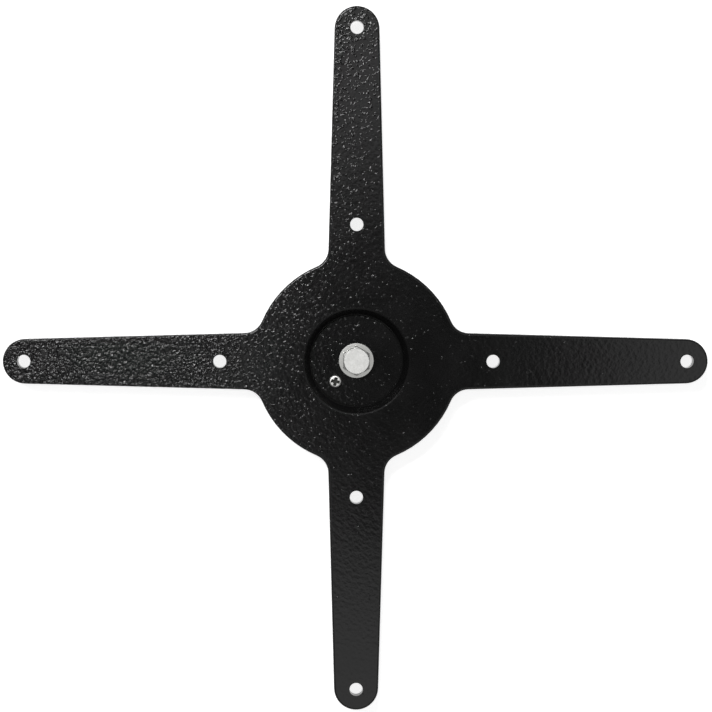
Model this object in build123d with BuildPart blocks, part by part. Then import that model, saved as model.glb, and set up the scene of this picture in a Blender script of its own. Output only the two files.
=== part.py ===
"""Top plate of a cast iron pedestal table base, with its centre bolt and locking screw.

The plate is one iron casting. A round hub with a dished centre carries tapering arms that screw to the
underside of a table top, and a spigot below the hub plugs into the column tube. The bolt that pulls the
base together runs down through the hub. Its flanged hexagon head is sunk in the dish, beside a small
cross-head screw that locks the plate.

Sizes are millimetres. +Z is up, and the origin lies on the hub's axis, at the foot of the boss.
"""

from build123d import *

import os
from math import radians, tan

# Arms
arm_count = 4
arm_reach = 200.0  # hub axis to the end of an arm
arm_axis_width = 35.5  # where the arm's straight sides pass the hub axis
arm_tip_radius = 12.7  # full round at the end of the arm

# Hub and plate
hub_diameter = 116.6
corner_radius = 11.0  # inside corner between the hub's rim and an arm
plate_thickness = 6.0
edge_round = 1.2  # along the plate's top edge
edge_chamfer = 0.8  # along its bottom edge, where the mould parts

# Screw holes through the arms
screw_hole_diameter = 7.5
inner_hole_distance = 77.5  # hub axis to the hole near the root of the arm
outer_hole_inset = 12.0  # end of the arm to the hole beside it

# Dish in the middle of the hub
dish_diameter = 61.0  # across the rim
dish_depth = 9.0
dish_draft = 21.0  # lean of the dish's wall from upright, in degrees
dish_rim_width = 0.8  # edge broken round the rim, as seen from above
dish_rim_drop = 0.4
dish_floor_bevel = 0.8  # in the corner between floor and wall

# Spigot that locates the column tube, and the boss below it that takes the bolt's thread
spigot_diameter = 71.5
spigot_length = 7.0
spigot_chamfer = 1.0
boss_diameter = 47.0  # across its foot
boss_length = 7.0
boss_draft = 10.0  # lean of the boss's wall from upright, in degrees
boss_foot_chamfer = 1.0

# Centre bolt, a hexagon head with a broad flange
bolt_shank_diameter = 10.0  # over the thread
bolt_foot_gap = 0.5  # lower end of the shank above the foot of the boss
bolt_flange_diameter = 20.0
bolt_flange_edge = 1.7  # upright edge of the flange
bolt_flange_height = 2.1  # where its upper face meets the flats of the hexagon
bolt_head_flats = 14.8  # across the flats
bolt_head_height = 8.0
bolt_crown_share = 0.95  # flat top of the head, as a share of its width across the flats
bolt_crown_lean = 30.0  # fall of the turned corners, in degrees
bolt_head_turn = 30.0  # where the bolt stopped turning, in degrees

# Locking screw, a domed pan head with a cross recess
screw_shank_diameter = 3.5
screw_shank_length = 6.0
screw_head_diameter = 7.2
screw_head_height = 2.4
screw_rim_height = 1.1  # upright side of the head, below its dome
screw_bearing = 225.0  # direction from the hub axis, in degrees
screw_share = 0.44  # how far across the dish's flat land it stands, from the bolt to the wall
screw_hole_spare = 1.5  # hole deeper than the shank
cross_span = 4.7
cross_width = 1.7
cross_depth = 1.7
cross_turn = 35.0  # where the screw stopped turning, in degrees

# Radial gap left for the threads of the bolt and the screw
thread_gap = 0.05

# Sizes that follow from the ones above
plate_z = boss_length + spigot_length
top_z = plate_z + plate_thickness
dish_floor_z = top_z - dish_depth
tip_distance = arm_reach - arm_tip_radius  # hub axis to the centre of the arm's round end
outer_hole_distance = arm_reach - outer_hole_inset
dish_wall_distance = dish_diameter / 2 - dish_rim_width  # hub axis to the upper edge of the dish's wall
dish_corner_distance = dish_wall_distance - (dish_depth - dish_rim_drop) * tan(radians(dish_draft))
dish_land_distance = dish_corner_distance - dish_floor_bevel
bolt_flange_radius = bolt_flange_diameter / 2
screw_distance = bolt_flange_radius + screw_share * (dish_land_distance - bolt_flange_radius)


# Arm: two circles joined by straight sides that touch both
with BuildSketch() as arm_outline:
    Circle(arm_axis_width / 2)
    with Locations((tip_distance, 0)):
        Circle(arm_tip_radius)
    make_hull()

# Plate: hub, arms, spigot and boss in one casting
with BuildPart() as spider_plate:
    with BuildSketch(Plane.XY.offset(plate_z)) as plate_outline:
        Circle(hub_diameter / 2)
        with PolarLocations(0, arm_count):
            add(arm_outline.sketch)
        inside_corners = plate_outline.vertices().sort_by_distance((0, 0, 0))[: 2 * arm_count]
        fillet(inside_corners, corner_radius)
    extrude(amount=plate_thickness)
    flat_faces = spider_plate.faces().filter_by(Axis.Z).sort_by(Axis.Z)
    fillet(flat_faces[-1].edges(), edge_round)
    chamfer(flat_faces[0].edges(), edge_chamfer)

    # Spigot under the hub
    with BuildSketch(Plane.XY.offset(boss_length)) as spigot_outline:
        Circle(spigot_diameter / 2)
    extrude(amount=spigot_length)
    chamfer(spider_plate.faces().sort_by(Axis.Z)[0].edges(), spigot_chamfer)

    # Boss under the spigot, wider at its root so that it leaves the mould
    with BuildSketch() as boss_outline:
        Circle(boss_diameter / 2)
    extrude(amount=boss_length, taper=-boss_draft)
    chamfer(spider_plate.faces().sort_by(Axis.Z)[0].edges(), boss_foot_chamfer)

    # Dish in the top of the hub
    with BuildSketch(Plane.XZ) as dish_profile:
        with BuildLine() as dish_outline:
            Polyline(
                (0, top_z),
                (dish_diameter / 2, top_z),
                (dish_wall_distance, top_z - dish_rim_drop),
                (dish_corner_distance, dish_floor_z),
                (0, dish_floor_z),
                close=True,
            )
        make_face()
        floor_corner = dish_profile.vertices().group_by(Axis.Y)[0].sort_by(Axis.X)[-1]
        chamfer(floor_corner, dish_floor_bevel)
    revolve(axis=Axis.Z, mode=Mode.SUBTRACT)

    # Screw holes along the arms
    with Locations((0, 0, top_z)):
        with PolarLocations(inner_hole_distance, arm_count):
            Hole(screw_hole_diameter / 2)
        with PolarLocations(outer_hole_distance, arm_count):
            Hole(screw_hole_diameter / 2)

    # Threaded hole for the centre bolt and blind hole for the locking screw
    with Locations((0, 0, dish_floor_z)):
        Hole(bolt_shank_diameter / 2 + thread_gap)
        with PolarLocations(screw_distance, 1, start_angle=screw_bearing):
            Hole(screw_shank_diameter / 2 + thread_gap, depth=screw_shank_length + screw_hole_spare)

# Centre bolt: its flange sits on the dish's floor and its shank fills the hole through the hub
bolt_top_z = dish_floor_z + bolt_head_height
bolt_crown_radius = bolt_crown_share * bolt_head_flats / 2
bolt_crown_fall = (bolt_flange_radius - bolt_crown_radius) * tan(radians(bolt_crown_lean))
with BuildPart() as centre_bolt:
    with BuildSketch(Plane.XY.offset(dish_floor_z)) as head_outline:
        RegularPolygon(bolt_head_flats / 2, 6, major_radius=False, rotation=bolt_head_turn)
    extrude(amount=bolt_head_height)

    # Crown turned on the corners of the hexagon
    with BuildSketch(Plane.XZ) as crown_profile:
        with BuildLine() as crown_outline:
            Polyline(
                (0, dish_floor_z),
                (bolt_flange_radius, dish_floor_z),
                (bolt_flange_radius, bolt_top_z - bolt_crown_fall),
                (bolt_crown_radius, bolt_top_z),
                (0, bolt_top_z),
                close=True,
            )
        make_face()
    revolve(axis=Axis.Z, mode=Mode.INTERSECT)

    # Flange and shank
    with BuildSketch(Plane.XZ) as flange_profile:
        with BuildLine() as flange_outline:
            Polyline(
                (0, bolt_foot_gap),
                (bolt_shank_diameter / 2, bolt_foot_gap),
                (bolt_shank_diameter / 2, dish_floor_z),
                (bolt_flange_radius, dish_floor_z),
                (bolt_flange_radius, dish_floor_z + bolt_flange_edge),
                (bolt_head_flats / 2, dish_floor_z + bolt_flange_height),
                (0, dish_floor_z + bolt_flange_height),
                close=True,
            )
        make_face()
    revolve(axis=Axis.Z)

# Locking screw: its head sits on the dish's floor and its shank fills the blind hole
screw_axis = Plane.XY.offset(dish_floor_z).rotated((0, 0, screw_bearing))
screw_seat = screw_axis.shift_origin(screw_axis.from_local_coords((screw_distance, 0, 0)))
screw_profile_plane = Plane(screw_seat.origin, x_dir=screw_seat.x_dir, z_dir=-screw_seat.y_dir)
with BuildPart() as locking_screw:
    with BuildSketch(screw_profile_plane) as screw_profile:
        with BuildLine() as screw_outline:
            Polyline(
                (0, screw_head_height),
                (0, -screw_shank_length),
                (screw_shank_diameter / 2, -screw_shank_length),
                (screw_shank_diameter / 2, 0),
                (screw_head_diameter / 2, 0),
                (screw_head_diameter / 2, screw_rim_height),
            )
            TangentArc((0, screw_head_height), (screw_head_diameter / 2, screw_rim_height), tangent=(1, 0))
        make_face()
    revolve(axis=Axis(screw_seat.origin, screw_seat.z_dir))

    # Cross recess
    with BuildSketch(screw_seat.offset(screw_head_height).rotated((0, 0, cross_turn))) as cross_outline:
        Rectangle(cross_span, cross_width)
        Rectangle(cross_width, cross_span)
    extrude(amount=-cross_depth, mode=Mode.SUBTRACT)

os.makedirs("parts", exist_ok=True)

spider_plate.part.label = "spider_plate"
export_step(spider_plate.part, "parts/spider_plate.step")

centre_bolt.part.label = "centre_bolt"
export_step(centre_bolt.part, "parts/centre_bolt.step")

locking_screw.part.label = "locking_screw"
export_step(locking_screw.part, "parts/locking_screw.step")
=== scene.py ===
import math

import bmesh
import bpy
from mathutils import Matrix, Vector


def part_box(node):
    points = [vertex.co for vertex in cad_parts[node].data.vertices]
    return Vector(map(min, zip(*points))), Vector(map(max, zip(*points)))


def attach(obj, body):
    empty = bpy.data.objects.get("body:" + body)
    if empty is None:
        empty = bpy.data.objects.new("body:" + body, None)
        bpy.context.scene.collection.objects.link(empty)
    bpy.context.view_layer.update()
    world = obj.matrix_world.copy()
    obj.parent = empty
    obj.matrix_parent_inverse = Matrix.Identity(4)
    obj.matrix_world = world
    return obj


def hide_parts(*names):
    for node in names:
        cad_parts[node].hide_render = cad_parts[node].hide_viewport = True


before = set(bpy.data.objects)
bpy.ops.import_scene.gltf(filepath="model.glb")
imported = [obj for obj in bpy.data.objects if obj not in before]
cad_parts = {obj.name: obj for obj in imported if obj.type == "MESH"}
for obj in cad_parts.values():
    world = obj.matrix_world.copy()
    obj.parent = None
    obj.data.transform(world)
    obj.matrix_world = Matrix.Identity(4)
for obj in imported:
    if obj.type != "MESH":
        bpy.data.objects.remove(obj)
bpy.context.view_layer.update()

scene = bpy.context.scene
mm = 0.001  # the frame is in metres, sizes below are thought out in millimetres
noiseLow, noiseHigh = 0.3, 0.7  # most of a noise pattern lies between these levels
print("frame loaded:", ", ".join(sorted(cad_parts)))


def srgb(code):
    # "#rrggbb" as the eye reads it, to the linear colour the shaders want
    parts = [int(code[i:i + 2], 16) / 255 for i in (1, 3, 5)]
    return tuple(c / 12.92 if c <= 0.04045 else ((c + 0.055) / 1.055) ** 2.4 for c in parts) + (1.0,)


def addNode(tree, kind, inputs=None, **settings):
    # inputs by socket name or number: another node's socket is linked, anything else is set
    node = tree.nodes.new(kind)
    for name, value in settings.items():
        setattr(node, name, value)
    for name, value in (inputs or {}).items():
        if isinstance(value, bpy.types.NodeSocket):
            tree.links.new(value, node.inputs[name])
        else:
            node.inputs[name].default_value = value
    return node


def startMaterial(name):
    material = bpy.data.materials.new(name)
    material.use_nodes = True
    material.node_tree.nodes.clear()
    return material, material.node_tree


def showMesh(name, mesh):
    piece = bpy.data.objects.new(name, mesh)
    scene.collection.objects.link(piece)
    return piece


# Finishes

coat = {
    "black": "#0c0c0c",
    "greyer": "#121212",        # where the powder lies thicker over the casting's skin
    "patch": 22 * mm,           # size of those thicker patches
    "patchNoise": {"Detail": 3.0, "Roughness": 0.6},
    "pimple": 1.7 * mm,         # spacing of the pimples in the skin
    "pimpleNoise": {"Detail": 1.0, "Roughness": 0.45},
    "pimpleHeight": 0.42 * mm,
    "sparsest": 0.71,           # noise level that a pimple starts from where the spray went on wet
    "densest": 0.28,            # and where it landed nearly dry
    "rise": 0.38,               # from a pimple's foot to its crown, in noise levels
    "grit": 2.2 * mm,           # fine grit all over, drawn coarse enough to show
    "gritNoise": {"Detail": 1.0, "Roughness": 0.5},
    "gritHeight": 0.045 * mm,
    "dryWay": Vector((-0.96, 0.28, 0)),     # towards the arms that the spray reached nearly dry
    "dryBand": (-60 * mm, 100 * mm),        # the change from wet to dry, along that way
    "dryCurve": 2.0,                        # 1 is an even change, more comes later
    "skewed": Vector((0.5, 0.35, 0.7)),     # turns the patterns off the axes, so that no grid shows
    "ior": 1.5,
    "roughLow": 0.11,
    "roughHigh": 0.14,
    # the dish's wall and rim, where little powder settles: radii between which that starts and ends
    "thinRing": (26.2 * mm, 26.6 * mm, 30.3 * mm, 30.6 * mm),
    "thinBand": (-14 * mm, 10 * mm),        # from its wet sprayed side to its dry one
    "thinRough": (0.20, 0.44),              # roughness on those two sides
}


def makePowderCoat():
    # textured black powder coat baked on cast iron: deep black with a satin sheen,
    # and pimples that catch single glints
    material, tree = startMaterial("blackTexturedPowderCoat")
    place = addNode(tree, "ShaderNodeTexCoord").outputs["Object"]
    skew = addNode(tree, "ShaderNodeMapping", {
        "Vector": place, "Rotation": coat["skewed"]}).outputs["Vector"]
    patches = addNode(tree, "ShaderNodeTexNoise", {
        "Vector": skew, "Scale": 1 / coat["patch"], **coat["patchNoise"]}).outputs["Fac"]
    pimples = addNode(tree, "ShaderNodeTexNoise", {
        "Vector": skew, "Scale": 1 / coat["pimple"], **coat["pimpleNoise"]}).outputs["Fac"]
    grit = addNode(tree, "ShaderNodeTexNoise", {
        "Vector": skew, "Scale": 1 / coat["grit"], **coat["gritNoise"]}).outputs["Fac"]
    # the pimples thin out across the hub, from the dry sprayed arms to the wet ones
    across = addNode(tree, "ShaderNodeVectorMath", {
        0: place, 1: coat["dryWay"]}, operation="DOT_PRODUCT").outputs["Value"]
    dry = addNode(tree, "ShaderNodeMapRange", {
        "Value": across, "From Min": coat["dryBand"][0], "From Max": coat["dryBand"][1]}).outputs["Result"]
    drier = addNode(tree, "ShaderNodeMath", {0: dry, 1: coat["dryCurve"]}, operation="POWER").outputs[0]
    foot = addNode(tree, "ShaderNodeMapRange", {
        "Value": drier, "To Min": coat["sparsest"], "To Max": coat["densest"]}).outputs["Result"]
    crown = addNode(tree, "ShaderNodeMath", {0: foot, 1: coat["rise"]}, operation="ADD").outputs[0]
    raised = addNode(tree, "ShaderNodeMapRange", {
        "Value": pimples, "From Min": foot, "From Max": crown},
        interpolation_type="SMOOTHSTEP").outputs["Result"]
    tone = addNode(tree, "ShaderNodeMix", {
        "Factor": patches, "A": srgb(coat["black"]), "B": srgb(coat["greyer"])},
        data_type="RGBA").outputs["Result"]
    rough = addNode(tree, "ShaderNodeMapRange", {
        "Value": patches, "From Min": noiseLow, "From Max": noiseHigh,
        "To Min": coat["roughLow"], "To Max": coat["roughHigh"]}).outputs["Result"]
    # on the steep wall and the rim of the dish the powder is thin and duller
    flat = addNode(tree, "ShaderNodeVectorMath", {
        0: place, 1: (1, 1, 0)}, operation="MULTIPLY").outputs["Vector"]
    radius = addNode(tree, "ShaderNodeVectorMath", {0: flat}, operation="LENGTH").outputs["Value"]
    ring = coat["thinRing"]
    inside = addNode(tree, "ShaderNodeMapRange", {
        "Value": radius, "From Min": ring[0], "From Max": ring[1]}).outputs["Result"]
    outside = addNode(tree, "ShaderNodeMapRange", {
        "Value": radius, "From Min": ring[3], "From Max": ring[2]}).outputs["Result"]
    thin = addNode(tree, "ShaderNodeMath", {0: inside, 1: outside}, operation="MULTIPLY").outputs[0]
    thinRough = addNode(tree, "ShaderNodeMapRange", {
        "Value": across, "From Min": coat["thinBand"][0], "From Max": coat["thinBand"][1],
        "To Min": coat["thinRough"][0], "To Max": coat["thinRough"][1]}).outputs["Result"]
    dulled = addNode(tree, "ShaderNodeMix", {
        "Factor": thin, "A": rough, "B": thinRough}, data_type="FLOAT").outputs["Result"]
    gritBump = addNode(tree, "ShaderNodeBump", {
        "Height": grit, "Strength": 1.0, "Distance": coat["gritHeight"]}).outputs["Normal"]
    pimpleBump = addNode(tree, "ShaderNodeBump", {
        "Height": raised, "Strength": 1.0, "Distance": coat["pimpleHeight"],
        "Normal": gritBump}).outputs["Normal"]
    shader = addNode(tree, "ShaderNodeBsdfPrincipled", {
        "Base Color": tone, "Roughness": dulled, "IOR": coat["ior"], "Normal": pimpleBump})
    addNode(tree, "ShaderNodeOutputMaterial", {"Surface": shader.outputs["BSDF"]})
    return material


zinc = {
    "bright": "#f4f4f2",
    "dull": "#d7d7d4",          # passivated patches
    "patch": 2.5 * mm,
    "patchNoise": {"Detail": 4.0, "Roughness": 0.65},
    "dimple": 0.9 * mm,         # spacing of the dents that barrel plating leaves
    "dimpleNoise": {"Detail": 1.0, "Roughness": 0.5},
    "dimpleHeight": 0.018 * mm,
    "roughLow": 0.36,
    "roughHigh": 0.44,
}


def makeZinc(name, seat, paintedShadeBands):
    # zinc plated and passivated steel: pale grey, dull rather than mirror bright, a little mottled and dented
    material, tree = startMaterial(name)
    place = addNode(tree, "ShaderNodeTexCoord").outputs["Object"]
    mottle = addNode(tree, "ShaderNodeTexNoise", {
        "Vector": place, "Scale": 1 / zinc["patch"], **zinc["patchNoise"]}).outputs["Fac"]
    dimples = addNode(tree, "ShaderNodeTexNoise", {
        "Vector": place, "Scale": 1 / zinc["dimple"], **zinc["dimpleNoise"]}).outputs["Fac"]
    tone = addNode(tree, "ShaderNodeMix", {
        "Factor": mottle, "A": srgb(zinc["dull"]), "B": srgb(zinc["bright"])},
        data_type="RGBA").outputs["Result"]
    rough = addNode(tree, "ShaderNodeMapRange", {
        "Value": mottle, "From Min": noiseLow, "From Max": noiseHigh,
        "To Min": zinc["roughLow"], "To Max": zinc["roughHigh"]}).outputs["Result"]
    # each band of painted shade covers what lies below its heights with a darker tone and its own roughness,
    # the lowest last
    height = addNode(tree, "ShaderNodeSeparateXYZ", {"Vector": place}).outputs["Z"]
    for shadeBand in paintedShadeBands:
        low, high = shadeBand["heights"]
        unshaded = addNode(tree, "ShaderNodeMapRange", {
            "Value": height, "From Min": seat + low, "From Max": seat + high}).outputs["Result"]
        tone = addNode(tree, "ShaderNodeMix", {
            "Factor": unshaded, "A": srgb(shadeBand["tone"]), "B": tone}, data_type="RGBA").outputs["Result"]
        rough = addNode(tree, "ShaderNodeMix", {
            "Factor": unshaded, "A": shadeBand["rough"], "B": rough}, data_type="FLOAT").outputs["Result"]
    bump = addNode(tree, "ShaderNodeBump", {
        "Height": dimples, "Strength": 1.0, "Distance": zinc["dimpleHeight"]}).outputs["Normal"]
    shader = addNode(tree, "ShaderNodeBsdfPrincipled", {
        "Base Color": tone, "Roughness": rough, "Metallic": 1.0, "Normal": bump})
    addNode(tree, "ShaderNodeOutputMaterial", {"Surface": shader.outputs["BSDF"]})
    return material


# Casting: the solid's own shape, in its coat

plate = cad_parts["spider_plate"]
plate.data.materials.clear()
plate.data.materials.append(makePowderCoat())
print("casting coated")

dishFloor = 11 * mm  # height that both fasteners sit at

# Centre bolt: its outline spun round the axis, with the hexagon and the thread cut in

boltLow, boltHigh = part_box("centre_bolt")
boltCentre = Vector(((boltLow.x + boltHigh.x) / 2, (boltLow.y + boltHigh.y) / 2, 0))
bolt = {
    "seat": dishFloor,
    "shankRadius": 5 * mm,
    "pitch": 1.5 * mm,
    "threadDepth": 0.92 * mm,
    "crest": 0.125,             # share of the pitch that is flat at the crest
    "root": 0.25,               # and at the root
    "flangeRadius": (boltHigh.x - boltLow.x) / 2,
    "flangeEdge": 1.9 * mm,     # upright edge of the flange
    "flangeRound": 0.2 * mm,    # over that edge
    "flangeHeight": 2.1 * mm,   # where its upper face meets the flats
    "flats": 14.8 * mm,
    "crown": 0.95,              # flat top of the head, as a share of the flats
    "crownLean": math.radians(29),
    "headTurn": math.radians(30),
    # painted shade bands: heights over the seat between which each band gives way, from the top down
    "paintedShadeBands": [
        {"heights": (6.9 * mm, 7.1 * mm), "tone": "#454543", "rough": 0.85},    # painted shade: the head's flats darker, so that the flange mirrors them dark
        {"heights": (2.09 * mm, 2.1 * mm), "tone": "#c8c8c5", "rough": 0.23},   # flange, pressed smooth, with painted shade: darker under the head
        {"heights": (1.9 * mm, 1.925 * mm), "tone": "#8c8c8a", "rough": 0.60},  # painted shade: its rounded edge darker and rougher, so that it shows no glint
    ],
    "turns": 144,               # segments round the bolt, a multiple of the head's corners
    "threadStep": 0.12 * mm,    # height of a row of faces on the shank
    "roundSteps": 6,
    "crownSteps": 10,
    "footRing": 0.6,            # share of the shank's radius
    "flangeRings": (0.4, 0.6, 0.7, 0.8, 0.9, 1.0),  # shares of the way in from the edge to the flats
    "faceRings": (0.7, 0.35, 0),                    # shares of the crown's radius
    "weld": 0.002 * mm,         # points nearer than this are joined
    "smoothBelow": math.radians(24),                # edges that bend less are shaded smooth
}
shankRow, flangeRow, headRow = 0, 1, 2
halfSide = math.pi / 6  # half a side of the hexagon, as an angle at its axis


def drawBoltOutline():
    # radius, kind and height of each row, from the middle of the foot up to the middle of the head
    foot, top, seat = boltLow.z, boltHigh.z, bolt["seat"]
    shank, flange, flat = bolt["shankRadius"], bolt["flangeRadius"], bolt["flats"] / 2
    rows = [(0, shankRow, foot), (bolt["footRing"] * shank, shankRow, foot)]
    steps = round((seat - foot) / bolt["threadStep"])
    rows += [(shank, shankRow, foot + (seat - foot) * i / steps) for i in range(steps + 1)]
    # the flange's upright edge, the round over it and the gentle slope up to the flats
    edge, bend = seat + bolt["flangeEdge"], bolt["flangeRound"]
    rise = bolt["flangeHeight"] - bolt["flangeEdge"]
    slope = rise / (flange - flat)
    rows += [(flange, flangeRow, seat)]
    for i in range(bolt["roundSteps"] + 1):
        a = 0.5 * math.pi * i / bolt["roundSteps"]
        height = edge - bend + bend * (1 + slope) * math.sin(a)
        rows.append((flange - bend * (1 - math.cos(a)), flangeRow, height))
    rows += [(flange + (flat - flange) * s, flangeRow, edge + rise * s) for s in bolt["flangeRings"]]
    # the head's corners, the crown turned on them and the flat face
    corner, crown, steps = flat / math.cos(halfSide), bolt["crown"] * flat, bolt["crownSteps"]
    fall = (corner - crown) * math.tan(bolt["crownLean"])
    rows += [(corner, headRow, seat + bolt["flangeHeight"])]
    for i in range(steps + 1):
        rows.append((corner + (crown - corner) * i / steps, headRow, top - fall * (1 - i / steps)))
    rows += [(s * crown, headRow, top) for s in bolt["faceRings"]]
    return rows


def makeBoltTree():
    # every grid column is one turn step, every grid row one point of the outline
    tree = bpy.data.node_groups.new("spinBolt", "GeometryNodeTree")
    face = tree.interface
    face.new_socket("Geometry", in_out="INPUT", socket_type="NodeSocketGeometry")
    for name in ("Shank Radius", "Pitch", "Thread Depth", "Crest", "Root", "Flats", "Head Turn", "Weld",
                 "Smooth Below"):
        face.new_socket(name, in_out="INPUT", socket_type="NodeSocketFloat")
    face.new_socket("Segments", in_out="INPUT", socket_type="NodeSocketInt")
    face.new_socket("Finish", in_out="INPUT", socket_type="NodeSocketMaterial")
    face.new_socket("Geometry", in_out="OUTPUT", socket_type="NodeSocketGeometry")
    given = addNode(tree, "NodeGroupInput").outputs
    rows = addNode(tree, "GeometryNodeAttributeDomainSize", {
        "Geometry": given["Geometry"]}).outputs["Point Count"]
    columns = addNode(tree, "ShaderNodeMath", {0: given["Segments"], 1: 1.0}, operation="ADD").outputs[0]
    grid = addNode(tree, "GeometryNodeMeshGrid", {
        "Size X": 1.0, "Size Y": 1.0, "Vertices X": columns, "Vertices Y": rows}).outputs["Mesh"]
    # the grid counts its points up along Y first, so column and row come from the index
    index = addNode(tree, "GeometryNodeInputIndex").outputs[0]
    share = addNode(tree, "ShaderNodeMath", {0: index, 1: rows}, operation="DIVIDE").outputs[0]
    column = addNode(tree, "ShaderNodeMath", {0: share}, operation="FLOOR").outputs[0]
    row = addNode(tree, "ShaderNodeMath", {0: index, 1: rows}, operation="MODULO").outputs[0]
    place = addNode(tree, "GeometryNodeInputPosition").outputs[0]
    outline = addNode(tree, "GeometryNodeSampleIndex", {
        "Geometry": given["Geometry"], "Value": place, "Index": row},
        data_type="FLOAT_VECTOR").outputs["Value"]
    # X is the outline's radius, Y the kind of row, Z its height
    spot = addNode(tree, "ShaderNodeSeparateXYZ", {"Vector": outline}).outputs
    turn = addNode(tree, "ShaderNodeMath", {0: column, 1: given["Segments"]}, operation="DIVIDE").outputs[0]
    angle = addNode(tree, "ShaderNodeMath", {0: turn, 1: math.tau}, operation="MULTIPLY").outputs[0]
    # thread: a flat crest, a straight flank and a flat root in each pitch, climbing one pitch a turn
    climb = addNode(tree, "ShaderNodeMath", {0: spot["Z"], 1: given["Pitch"]}, operation="DIVIDE").outputs[0]
    phase = addNode(tree, "ShaderNodeMath", {0: climb, 1: turn}, operation="SUBTRACT").outputs[0]
    wave = addNode(tree, "ShaderNodeMath", {0: phase, 1: 0.5}, operation="PINGPONG").outputs[0]
    crestEnd = addNode(tree, "ShaderNodeMath", {0: given["Crest"], 1: 0.5}, operation="MULTIPLY").outputs[0]
    rootStart = addNode(tree, "ShaderNodeMath", {
        0: given["Root"], 1: -0.5, 2: 0.5}, operation="MULTIPLY_ADD").outputs[0]
    cut = addNode(tree, "ShaderNodeMapRange", {
        "Value": wave, "From Min": crestEnd, "From Max": rootStart,
        "To Min": 0.0, "To Max": given["Thread Depth"]}).outputs["Result"]
    flank = addNode(tree, "ShaderNodeMath", {
        0: given["Shank Radius"], 1: cut}, operation="SUBTRACT").outputs[0]
    onShank = addNode(tree, "ShaderNodeMath", {0: spot["X"], 1: flank}, operation="MINIMUM").outputs[0]
    # hexagon: distance of its outline from the axis, by the angle from the middle of the nearest flat
    fromCorner = addNode(tree, "ShaderNodeMath", {
        0: angle, 1: given["Head Turn"]}, operation="SUBTRACT").outputs[0]
    fromFlat = addNode(tree, "ShaderNodeMath", {0: fromCorner, 1: halfSide}, operation="ADD").outputs[0]
    lean = addNode(tree, "ShaderNodeMath", {0: fromFlat, 1: halfSide}, operation="PINGPONG").outputs[0]
    leanCosine = addNode(tree, "ShaderNodeMath", {0: lean}, operation="COSINE").outputs[0]
    halfFlats = addNode(tree, "ShaderNodeMath", {0: given["Flats"], 1: 0.5}, operation="MULTIPLY").outputs[0]
    hexagon = addNode(tree, "ShaderNodeMath", {0: halfFlats, 1: leanCosine}, operation="DIVIDE").outputs[0]
    onFlange = addNode(tree, "ShaderNodeMath", {0: spot["X"], 1: hexagon}, operation="MAXIMUM").outputs[0]
    onHead = addNode(tree, "ShaderNodeMath", {0: spot["X"], 1: hexagon}, operation="MINIMUM").outputs[0]
    aboveShank = addNode(tree, "FunctionNodeCompare", {
        "A": spot["Y"], "B": (shankRow + flangeRow) / 2}, operation="GREATER_THAN").outputs["Result"]
    aboveFlange = addNode(tree, "FunctionNodeCompare", {
        "A": spot["Y"], "B": (flangeRow + headRow) / 2}, operation="GREATER_THAN").outputs["Result"]
    below = addNode(tree, "GeometryNodeSwitch", {
        "Switch": aboveShank, "False": onShank, "True": onFlange}, input_type="FLOAT").outputs["Output"]
    reach = addNode(tree, "GeometryNodeSwitch", {
        "Switch": aboveFlange, "False": below, "True": onHead}, input_type="FLOAT").outputs["Output"]
    across = addNode(tree, "ShaderNodeMath", {0: angle}, operation="COSINE").outputs[0]
    along = addNode(tree, "ShaderNodeMath", {0: angle}, operation="SINE").outputs[0]
    x = addNode(tree, "ShaderNodeMath", {0: reach, 1: across}, operation="MULTIPLY").outputs[0]
    y = addNode(tree, "ShaderNodeMath", {0: reach, 1: along}, operation="MULTIPLY").outputs[0]
    spun = addNode(tree, "ShaderNodeCombineXYZ", {"X": x, "Y": y, "Z": spot["Z"]}).outputs["Vector"]
    bent = addNode(tree, "GeometryNodeSetPosition", {"Geometry": grid, "Position": spun}).outputs["Geometry"]
    closed = addNode(tree, "GeometryNodeMergeByDistance", {
        "Geometry": bent, "Distance": given["Weld"]}).outputs["Geometry"]
    bend = addNode(tree, "GeometryNodeInputMeshEdgeAngle").outputs["Unsigned Angle"]
    gentle = addNode(tree, "FunctionNodeCompare", {
        "A": bend, "B": given["Smooth Below"]}, operation="LESS_THAN").outputs["Result"]
    faces = addNode(tree, "GeometryNodeSetShadeSmooth", {
        "Geometry": closed, "Shade Smooth": True}).outputs["Geometry"]
    edges = addNode(tree, "GeometryNodeSetShadeSmooth", {
        "Geometry": faces, "Shade Smooth": gentle}, domain="EDGE").outputs["Geometry"]
    real = addNode(tree, "GeometryNodeRealizeInstances", {"Geometry": edges}).outputs["Geometry"]
    finished = addNode(tree, "GeometryNodeSetMaterial", {"Geometry": real, "Material": given["Finish"]})
    addNode(tree, "NodeGroupOutput", {"Geometry": finished.outputs["Geometry"]})
    return tree


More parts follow.
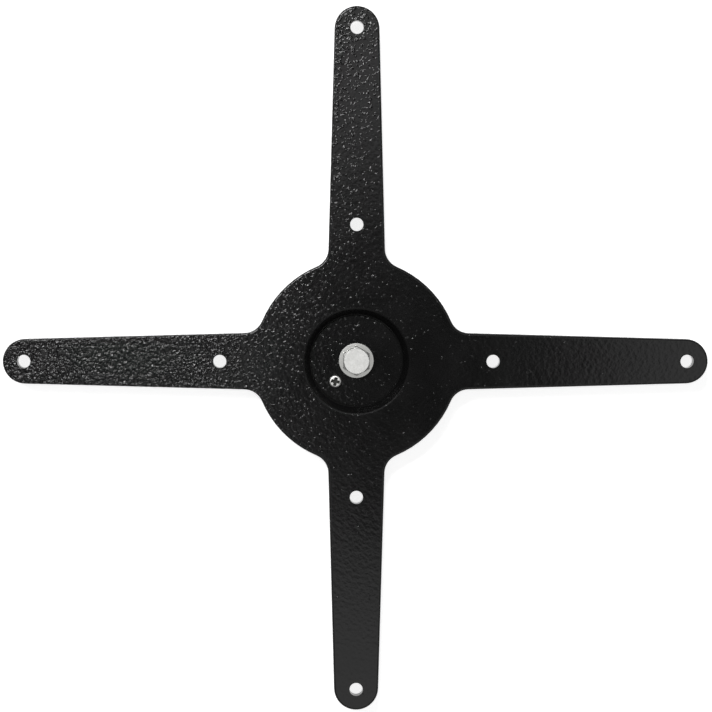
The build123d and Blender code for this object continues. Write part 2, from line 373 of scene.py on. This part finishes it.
def makeBolt():
    outline = bpy.data.meshes.new("centreBoltOutline")
    points = drawBoltOutline()
    outline.from_pydata(points, [(i, i + 1) for i in range(len(points) - 1)], [])
    maker = showMesh("centreBoltMaker", outline)
    modifier = maker.modifiers.new("spinBolt", "NODES")
    modifier.node_group = makeBoltTree()
    values = {
        "Shank Radius": bolt["shankRadius"], "Pitch": bolt["pitch"], "Thread Depth": bolt["threadDepth"],
        "Crest": bolt["crest"], "Root": bolt["root"], "Flats": bolt["flats"], "Head Turn": bolt["headTurn"],
        "Weld": bolt["weld"], "Smooth Below": bolt["smoothBelow"], "Segments": bolt["turns"],
        "Finish": makeZinc("zincPlatedBolt", bolt["seat"], bolt["paintedShadeBands"])}
    for socket in modifier.node_group.interface.items_tree:
        if socket.in_out == "INPUT" and socket.name in values:
            modifier[socket.identifier] = values[socket.name]
    graph = bpy.context.evaluated_depsgraph_get()
    mesh = bpy.data.meshes.new_from_object(maker.evaluated_get(graph), depsgraph=graph)
    maker.modifiers.remove(modifier)
    bpy.data.objects.remove(maker)
    mesh.transform(Matrix.Translation(boltCentre))
    return showMesh("centreBolt", mesh)


centreBolt = makeBolt()
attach(centreBolt, "root")
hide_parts("centre_bolt")
print("centre bolt threaded:", len(centreBolt.data.polygons), "faces")

# Locking screw: a pan head spun row by row, with a cross recess pressed into its crown

screwLow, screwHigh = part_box("locking_screw")
screw = {
    "seat": dishFloor,
    "rim": 1.3 * mm,            # upright side of the head
    "headHeight": 2.35 * mm,
    "flatness": 8.0,            # 2 is an even dome, more is flatter on top
    "shankRadius": 1.75 * mm,
    "tipRadius": 0.7,           # blunt tip of the shank, in shares of its radius
    "tipHeight": 0.3,
    "crossSpan": 4.4 * mm,
    "crossWidth": 1.55 * mm,
    "crossDepth": 1.9 * mm,
    "crossSide": 0.3 * mm,      # how far the recess's side walls slope
    "crossEnd": 0.6 * mm,       # and its end walls
    "crossTurn": math.radians(-10),
    # painted shade in the recess, with the heights over the seat between which it gives way
    "paintedShadeBands": [{"heights": (0.75 * mm, 1.15 * mm), "tone": "#40403e", "rough": 0.50}],
    "rings": 56,
    "turns": 144,
    "smoothBelow": math.radians(35),    # edges that bend less are shaded smooth
}


def crossAt(x, y):
    # 1 in the cross's floor, falling to 0 over its walls
    c, s = math.cos(screw["crossTurn"]), math.sin(screw["crossTurn"])
    u, v = abs(c * x + s * y), abs(c * y - s * x)
    long, short = max(u, v), min(u, v)
    side = min(1, max(0, (screw["crossWidth"] / 2 - short) / screw["crossSide"] + 0.5))
    end = min(1, max(0, (screw["crossSpan"] / 2 - long) / screw["crossEnd"] + 0.5))
    return min(side, end)


def makeScrew():
    centre = Vector(((screwLow.x + screwHigh.x) / 2, (screwLow.y + screwHigh.y) / 2, 0))
    radius = (screwHigh.x - screwLow.x) / 2
    foot, seat, shank = screwLow.z, screw["seat"], screw["shankRadius"]
    rim, top = seat + screw["rim"], seat + screw["headHeight"]
    rows = [
        (0, foot), (screw["tipRadius"] * shank, foot), (shank, foot + screw["tipHeight"] * shank),
        (shank, seat), (radius, seat), (radius, rim)]
    domeStart = len(rows)
    for i in range(1, screw["rings"]):
        r = radius * math.cos(0.5 * math.pi * i / screw["rings"])
        rows.append((r, rim + (top - rim) * (1 - (r / radius) ** screw["flatness"]) ** 0.5))
    mesh = bmesh.new()
    rings = []
    for number, (r, z) in enumerate(rows):
        if r == 0:
            rings.append([mesh.verts.new(centre + Vector((0, 0, z)))])
            continue
        ring = []
        for i in range(screw["turns"]):
            a = math.tau * i / screw["turns"]
            x, y = r * math.cos(a), r * math.sin(a)
            sink = crossAt(x, y) * screw["crossDepth"] if number >= domeStart else 0
            ring.append(mesh.verts.new(centre + Vector((x, y, z - sink))))
        rings.append(ring)
    rings.append([mesh.verts.new(centre + Vector((0, 0, top - screw["crossDepth"])))])
    for low, high in zip(rings, rings[1:]):
        for i in range(screw["turns"]):
            j = (i + 1) % screw["turns"]
            if len(low) == 1:
                mesh.faces.new((low[0], high[j], high[i]))
            elif len(high) == 1:
                mesh.faces.new((low[i], low[j], high[0]))
            else:
                mesh.faces.new((low[i], low[j], high[j], high[i]))
    bmesh.ops.recalc_face_normals(mesh, faces=mesh.faces)
    for f in mesh.faces:
        f.smooth = True
    for e in mesh.edges:
        e.smooth = e.calc_face_angle(0) < screw["smoothBelow"]
    data = bpy.data.meshes.new("lockingScrew")
    mesh.to_mesh(data)
    mesh.free()
    data.materials.append(makeZinc("zincPlatedScrew", seat, screw["paintedShadeBands"]))
    return showMesh("lockingScrew", data)


lockingScrew = makeScrew()
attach(lockingScrew, "root")
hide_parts("locking_screw")
print("locking screw seated:", len(lockingScrew.data.polygons), "faces")

# Stage: pale floor, soft boxes and the camera above

stage = {
    "floorColour": "#eeeeee",
    "floorHalf": 3.0,           # metres from the middle to a side
    "floorGlow": 0.78,          # what lifts the floor to white in the picture, leaving the shadow
    # overhead is a pale ceiling cloth with a dark hole for the camera, and low down stand pale walls:
    # way to the middle of the hole, then degrees from there and how bright the room is at each
    "holeMiddle": Vector((math.tan(math.radians(2.95)), math.tan(math.radians(-3.65)), 1)).normalized(),
    "room": [
        (0, 0), (3.6, 0.02), (4.9, 0.26), (6.3, 0.62), (7.2, 0.76),
        (20, 0.82), (28, 0.06), (72, 0.06), (82, 1),
    ],
}


def layFloor():
    # matt paper: no gloss, a soft shadow under the plate, and white to the camera, to metal and through glass
    half = stage["floorHalf"]
    mesh = bpy.data.meshes.new("paleFloor")
    corners = [(-half, -half, 0), (half, -half, 0), (half, half, 0), (-half, half, 0)]
    mesh.from_pydata(corners, [], [(0, 1, 2, 3)])
    material, tree = startMaterial("palePaperFloor")
    path = addNode(tree, "ShaderNodeLightPath").outputs
    seen = addNode(tree, "ShaderNodeMath", {
        0: path["Is Camera Ray"], 1: path["Is Glossy Ray"]}, operation="MAXIMUM").outputs[0]
    clear = addNode(tree, "ShaderNodeMath", {
        0: seen, 1: path["Is Transmission Ray"]}, operation="MAXIMUM").outputs[0]
    glow = addNode(tree, "ShaderNodeMath", {0: clear, 1: stage["floorGlow"]}, operation="MULTIPLY").outputs[0]
    shader = addNode(tree, "ShaderNodeBsdfPrincipled", {
        "Base Color": srgb(stage["floorColour"]), "Roughness": 1.0, "Specular IOR Level": 0.0,
        "Emission Color": (1, 1, 1, 1), "Emission Strength": glow})
    addNode(tree, "ShaderNodeOutputMaterial", {"Surface": shader.outputs["BSDF"]})
    mesh.materials.append(material)
    showMesh("paleFloor", mesh)


def lightRoom():
    world = bpy.data.worlds.new("studio")
    scene.world = world
    world.use_nodes = True
    tree = world.node_tree
    tree.nodes.clear()
    way = addNode(tree, "ShaderNodeTexCoord").outputs["Generated"]
    toHole = addNode(tree, "ShaderNodeVectorMath", {
        0: way, 1: stage["holeMiddle"]}, operation="DOT_PRODUCT").outputs["Value"]
    angle = addNode(tree, "ShaderNodeMath", {0: toHole}, operation="ARCCOSINE").outputs[0]
    share = addNode(tree, "ShaderNodeMath", {0: angle, 1: math.pi}, operation="DIVIDE").outputs[0]
    ramp = addNode(tree, "ShaderNodeValToRGB", {"Fac": share})
    stops = ramp.color_ramp.elements
    ready = len(stops)  # a new ramp already has its two ends
    for number, (degrees, level) in enumerate(stage["room"]):
        stop = stops[number] if number < ready else stops.new(degrees / 180)
        stop.position = degrees / 180
        stop.color = (level, level, level, 1)
    glow = addNode(tree, "ShaderNodeBackground", {"Color": ramp.outputs["Color"], "Strength": 1.0})
    addNode(tree, "ShaderNodeOutputWorld", {"Surface": glow.outputs["Background"]})


softBoxes = {
    # bearing from +X and lean from the zenith in degrees, distance and size in metres, radiance of the cloth
    "keyBox": {"bearing": 120, "lean": 29, "distance": 1.4, "size": (0.75, 0.26), "radiance": 21},
    "fillBox": {"bearing": 280, "lean": 72, "distance": 1.4, "size": (0.9, 0.5), "radiance": 0.3},
}


def hangSoftBox(name, box):
    lamp = bpy.data.lights.new(name, "AREA")
    lamp.shape = "RECTANGLE"
    lamp.size, lamp.size_y = box["size"]
    lamp.energy = box["radiance"] * math.pi * lamp.size * lamp.size_y  # watts of a cloth that bright
    hung = bpy.data.objects.new(name, lamp)
    scene.collection.objects.link(hung)
    bearing, lean = math.radians(box["bearing"]), math.radians(box["lean"])
    away = Vector((math.cos(bearing) * math.sin(lean), math.sin(bearing) * math.sin(lean), math.cos(lean)))
    hung.location = away * box["distance"]
    hung.rotation_euler = away.to_track_quat("Z", "Y").to_euler()
    hung.visible_camera = False


view = {
    "frameWidth": 0.40384,      # metres that the picture spans at the plate's face
    "distance": 1.2,
    "aimHeight": 0.0188,
    "leanBack": math.radians(3.48),     # the plate lay a little tilted under the camera
    "leanSide": math.radians(1.36),
    "offset": Vector((-0.00032, 0.00301, 0)),
    "sensor": 36.0,             # millimetres, as Blender gives lenses
}


def setCamera():
    lens = bpy.data.cameras.new("overheadCamera")
    lens.sensor_width = view["sensor"]
    lens.lens = view["sensor"] * view["distance"] / view["frameWidth"]
    camera = bpy.data.objects.new("overheadCamera", lens)
    scene.collection.objects.link(camera)
    turn = Matrix.Rotation(-view["leanBack"], 4, "X") @ Matrix.Rotation(-view["leanSide"], 4, "Y")
    stand = Vector((0, 0, view["distance"])) + view["offset"]
    camera.matrix_world = Matrix.Translation(Vector((0, 0, view["aimHeight"])) + turn @ stand) @ turn
    scene.camera = camera


layFloor()
lightRoom()
for name, box in softBoxes.items():
    hangSoftBox(name, box)
setCamera()
scene.view_settings.view_transform = "Standard"
print("stage set")
